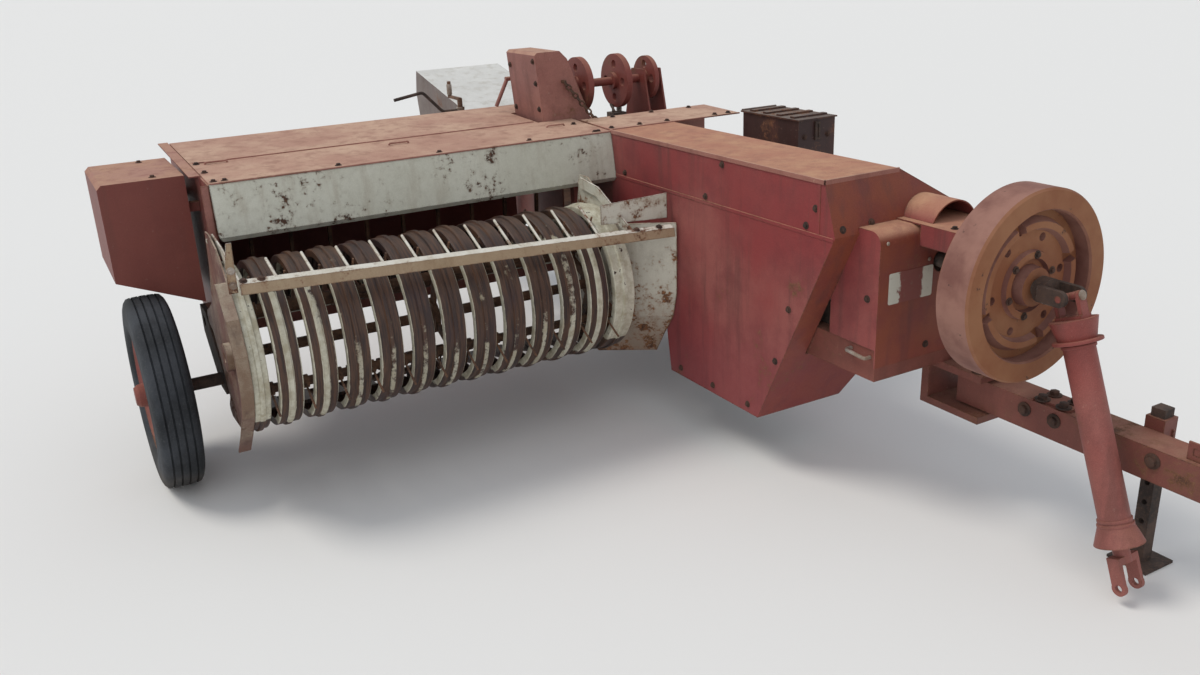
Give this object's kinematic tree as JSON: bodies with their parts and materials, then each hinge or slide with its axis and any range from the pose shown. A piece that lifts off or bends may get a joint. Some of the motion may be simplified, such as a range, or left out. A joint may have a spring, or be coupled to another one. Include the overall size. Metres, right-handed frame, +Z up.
{
  "type": "square baler",
  "caption": "Small towed square baler with side pickup, crank housing, flywheel, knotters and a folded bale chute, parked on its wheels and stand.",
  "frame": {"origin": "middle of the machine's outline on the ground, at the bottom centre of its box", "axes": "+Z up, +Y to the rear along the bale chamber (the tongue points to -Y), +X to the machine's left, with the pickup on the -X side"},
  "size_m": [2.548, 5.202, 1.308],
  "materials": {
    "bare_steel": "pale worn sheet with light rust",
    "cream": "cream paint with rust chips",
    "dark_paint": "nearly black paint",
    "dark_steel": "dark oily rust",
    "deep_red": "red paint, faded and stained",
    "faded_red": "faded red paint with rust",
    "frame_paint": "worn dull red paint over rust",
    "grey_casting": "greasy casting",
    "pink_red": "sun-bleached red paint",
    "rim_paint": "worn red paint",
    "rust_orange": "orange rust over worn paint",
    "rusty_steel": "brown rust",
    "tyre": "weathered rubber",
    "worn_cream": "cream paint worn to brown steel"
  },
  "bodies": {
    "machine": {"main_frame": "frame_paint", "right_spindle": "dark_steel", "left_spindle": "dark_steel", "chamber_sides": "faded_red", "chamber_floor": "rusty_steel", "chamber_top": "rusty_steel", "crank_housing": "deep_red", "gearbox_guard": "faded_red", "gearbox": "grey_casting", "gearbox_top_covers": "faded_red", "hood_roof": "pink_red", "hood_front_panel": "cream", "feeder_end_wall": "faded_red", "feeder_pan": "rusty_steel", "feeder_fingers": "rusty_steel", "drive_shield": "faded_red", "input_yoke": "dark_steel", "knotter_frame": "frame_paint", "knotters": "grey_casting", "knotter_shield": "pink_red", "trip_arm": "dark_steel", "drive_chain": "rusty_steel", "tension_gear": "rusty_steel", "twine_box": "dark_paint"},
    "right_wheel": {"right_rim": "rim_paint", "right_tyre": "tyre"},
    "left_wheel": {"left_rim": "rim_paint", "left_tyre": "tyre"},
    "plunger": {"plunger": "bare_steel"},
    "pickup": {"pickup_frame": "cream", "pickup_flare_plate": "cream", "stripper_bands": "worn_cream"},
    "reel": {"pickup_reel": "rusty_steel"},
    "guard": {"wind_guard": "cream"},
    "flywheel": {"flywheel": "rust_orange"},
    "drive_shaft": {"drive_shaft": "faded_red"},
    "tongue": {"tongue": "frame_paint", "hitch_clevis": "frame_paint"},
    "stand": {"stand_leg": "dark_steel"},
    "knotter_shaft": {"knotter_shaft": "faded_red"},
    "needles": {"needles": "rusty_steel"},
    "chute": {"bale_chute": "bare_steel"},
    "twine_lid": {"twine_box_lid": "dark_paint"},
    "metering_wheel": {"metering_wheel": "rusty_steel"}
  },
  "joints": [
    {"name": "right_wheel_spin", "type": "hinge", "parent": "machine", "child": "right_wheel", "pos_m": [-1.186, 0.674, 0.33], "axis": [1, 0, 0], "continuous": true},
    {"name": "left_wheel_spin", "type": "hinge", "parent": "machine", "child": "left_wheel", "pos_m": [1.186, 0.674, 0.33], "axis": [1, 0, 0], "continuous": true},
    {"name": "plunger_slide", "type": "slide", "parent": "machine", "child": "plunger", "axis": [0, 1, 0], "range_m": [0, 0.5]},
    {"name": "pickup_lift", "type": "hinge", "parent": "machine", "child": "pickup", "pos_m": [-0.186, 0.654, 0.56], "axis": [1, 0, 0], "range_deg": [0, 24]},
    {"name": "reel_spin", "type": "hinge", "parent": "pickup", "child": "reel", "pos_m": [-0.336, 0.309, 0.53], "axis": [1, 0, 0], "continuous": true},
    {"name": "wind_guard_hinge", "type": "hinge", "parent": "pickup", "child": "guard", "pos_m": [-0.336, 0.404, 0.88], "axis": [-1, 0, 0], "range_deg": [0, 25]},
    {"name": "flywheel_spin", "type": "hinge", "parent": "machine", "child": "flywheel", "pos_m": [0.849, -1.106, 0.774], "axis": [0, 1, 0], "continuous": true},
    {"name": "drive_shaft_swing", "type": "hinge", "parent": "machine", "child": "drive_shaft", "pos_m": [0.849, -1.253, 0.774], "axis": [-1, 0, 0], "range_deg": [0, 60]},
    {"name": "tongue_swing", "type": "hinge", "parent": "machine", "child": "tongue", "pos_m": [0.979, -0.896, 0.3625], "axis": [0, 0, 1], "range_deg": [0, 18]},
    {"name": "stand_slide", "type": "slide", "parent": "tongue", "child": "stand", "axis": [0, 0, 1], "range_m": [0, 0.25]},
    {"name": "knotter_spin", "type": "hinge", "parent": "machine", "child": "knotter_shaft", "pos_m": [0.754, 1.044, 1.146], "axis": [1, 0, 0], "continuous": true},
    {"name": "needle_swing", "type": "hinge", "parent": "machine", "child": "needles", "pos_m": [0.744, 1.384, 0.72], "axis": [-1, 0, 0], "range_deg": [0, 70]},
    {"name": "chute_fold", "type": "hinge", "parent": "machine", "child": "chute", "pos_m": [0.744, 2.524, 0.83], "axis": [-1, 0, 0], "range_deg": [0, 193]},
    {"name": "twine_lid_hinge", "type": "hinge", "parent": "machine", "child": "twine_lid", "pos_m": [1.12, 0.406, 1.0643], "axis": [-1, 0, 0], "range_deg": [0, 100]},
    {"name": "metering_spin", "type": "hinge", "parent": "machine", "child": "metering_wheel", "pos_m": [0.715, 1.574, 1.036], "axis": [1, 0, 0], "continuous": true}
  ]
}
